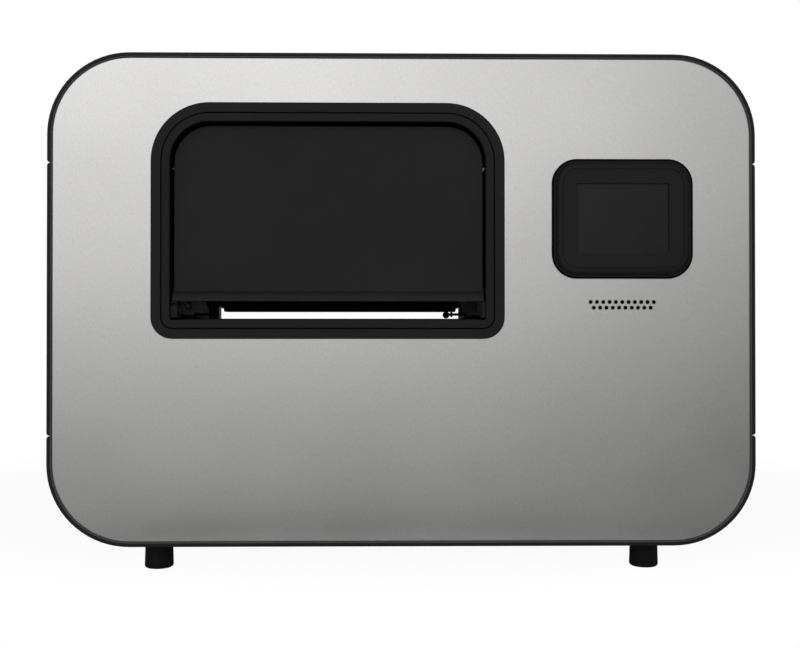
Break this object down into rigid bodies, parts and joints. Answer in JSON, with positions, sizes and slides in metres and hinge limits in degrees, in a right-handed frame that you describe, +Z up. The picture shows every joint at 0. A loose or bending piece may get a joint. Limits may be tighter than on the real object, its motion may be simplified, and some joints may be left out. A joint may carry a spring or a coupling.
{
  "type": "braille embosser",
  "caption": "Wide desktop braille embosser: wrap-round black shell with hinged lid, steel front panel, flapped paper window, display pod, pin-feed tractors and embossing heads.",
  "frame": {"origin": "centre of the machine's outline on the floor under its feet", "axes": "+X to the right seen from the front, -Y out of the front panel, +Z up"},
  "size_m": [0.75, 0.408, 0.551],
  "materials": {
    "shell": "fine satin black",
    "panel": "grained grey steel",
    "trim": "matt black",
    "flap": "matt black",
    "bars": "plain",
    "sheet": "zinc plated sheet",
    "black_sheet": "black coated steel",
    "head": "black anodised",
    "hardware": "bright plated",
    "glass": "dark display glass",
    "board": "green board",
    "rubber": "black rubber",
    "alloy": "machined",
    "coil": "wound coils in a varnished jacket",
    "punch": "hardened steel",
    "bush": "sintered bronze",
    "tractor": "matt black",
    "gate": "black",
    "motor": "black enamel"
  },
  "bodies": {
    "chassis": {"base_tray": "shell", "left_side_panel": "shell", "right_side_panel": "shell", "front_panel": "panel", "rear_panel": "panel", "window_frame": "trim", "window_liner": "trim", "flap_stops": "trim", "flap_catch": "trim", "display_pod": "trim", "speaker": "trim", "intake_frame": "trim", "fan_frame": "trim", "power_inlet": "trim", "data_ports": "trim", "tie_bars": "bars", "guide_rod": "bars", "power_supply": "bars", "base_plate": "sheet", "socket_plate": "sheet", "left_plate": "black_sheet", "right_plate": "black_sheet", "exit_guide": "black_sheet", "intake_guide": "black_sheet", "upper_head": "head", "lower_head": "head", "flap_rod": "hardware", "foot_screws": "hardware", "body_leaves": "hardware", "hinge_pins": "hardware", "rear_screws": "hardware", "display_glass": "glass", "display_module": "board", "control_board": "board", "feet": "rubber", "feed_belt": "rubber", "board_parts": "alloy", "upper_solenoids": "coil", "lower_solenoids": "coil", "shaft_bearings": "bush", "feed_motor": "motor"},
    "lid": {"lid_shell": "shell", "lid_leaves": "hardware"},
    "flap": {"flap": "flap"},
    "upper_punch": {"upper_punch": "punch"},
    "lower_punch": {"lower_punch": "punch"},
    "feed_shaft": {"feed_shaft": "hardware", "shaft_pulley": "alloy"},
    "motor_pulley": {"motor_pulley": "alloy"},
    "left_tractor": {"left_tractor": "tractor", "left_pin_belt": "rubber"},
    "left_sprocket": {"left_sprocket": "alloy"},
    "left_gate": {"left_gate": "gate"},
    "right_tractor": {"right_tractor": "tractor", "right_pin_belt": "rubber"},
    "right_sprocket": {"right_sprocket": "alloy"},
    "right_gate": {"right_gate": "gate"},
    "fan_rotor": {"fan_rotor": "gate"},
    "power_rocker": {"power_rocker": "gate"}
  },
  "joints": [
    {"name": "lid_hinge", "type": "hinge", "parent": "chassis", "child": "lid", "pos_m": [0, 0.2, 0.547], "axis": [-1, 0, 0], "range_deg": [0, 75]},
    {"name": "flap_hinge", "type": "hinge", "parent": "chassis", "child": "flap", "pos_m": [-0.079, -0.179, 0.4312], "axis": [-1, 0, 0], "range_deg": [0, 70]},
    {"name": "upper_punch_slide", "type": "slide", "parent": "chassis", "child": "upper_punch", "axis": [0, 0, -1], "range_m": [0, 0.0105], "stiffness_N_per_m": 800, "springref_m": -0.012},
    {"name": "lower_punch_slide", "type": "slide", "parent": "chassis", "child": "lower_punch", "axis": [0, 0, 1], "range_m": [0, 0.0025], "stiffness_N_per_m": 800, "springref_m": -0.006},
    {"name": "feed_spin", "type": "hinge", "parent": "chassis", "child": "feed_shaft", "pos_m": [-0.079, -0.095, 0.257], "axis": [1, 0, 0], "continuous": true},
    {"name": "motor_spin", "type": "hinge", "parent": "chassis", "child": "motor_pulley", "pos_m": [0.124, -0.095, 0.152], "axis": [1, 0, 0], "continuous": true},
    {"name": "left_tractor_slide", "type": "slide", "parent": "chassis", "child": "left_tractor", "axis": [1, 0, 0], "range_m": [0, 0.04]},
    {"name": "right_tractor_slide", "type": "slide", "parent": "chassis", "child": "right_tractor", "axis": [-1, 0, 0], "range_m": [0, 0.15]},
    {"name": "left_sprocket_spin", "type": "hinge", "parent": "left_tractor", "child": "left_sprocket", "pos_m": [-0.23775, -0.095, 0.257], "axis": [1, 0, 0], "continuous": true},
    {"name": "right_sprocket_spin", "type": "hinge", "parent": "right_tractor", "child": "right_sprocket", "pos_m": [0.07975, -0.095, 0.257], "axis": [1, 0, 0], "continuous": true},
    {"name": "left_gate_hinge", "type": "hinge", "parent": "left_tractor", "child": "left_gate", "pos_m": [-0.25275, -0.1175, 0.27395], "axis": [0, -1, 0], "range_deg": [0, 95]},
    {"name": "right_gate_hinge", "type": "hinge", "parent": "right_tractor", "child": "right_gate", "pos_m": [0.09475, -0.1175, 0.27395], "axis": [0, 1, 0], "range_deg": [0, 95]},
    {"name": "fan_spin", "type": "hinge", "parent": "chassis", "child": "fan_rotor", "pos_m": [0.262, 0.185, 0.234], "axis": [0, 1, 0], "continuous": true},
    {"name": "power_rock", "type": "hinge", "parent": "chassis", "child": "power_rocker", "pos_m": [0.191, 0.195, 0.121], "axis": [1, 0, 0], "range_deg": [-18, 0]}
  ],
  "couplings": [
    {"joint": "motor_spin", "follows": "feed_spin", "ratio": 2},
    {"joint": "left_sprocket_spin", "follows": "feed_spin", "ratio": 1},
    {"joint": "right_sprocket_spin", "follows": "feed_spin", "ratio": 1}
  ]
}
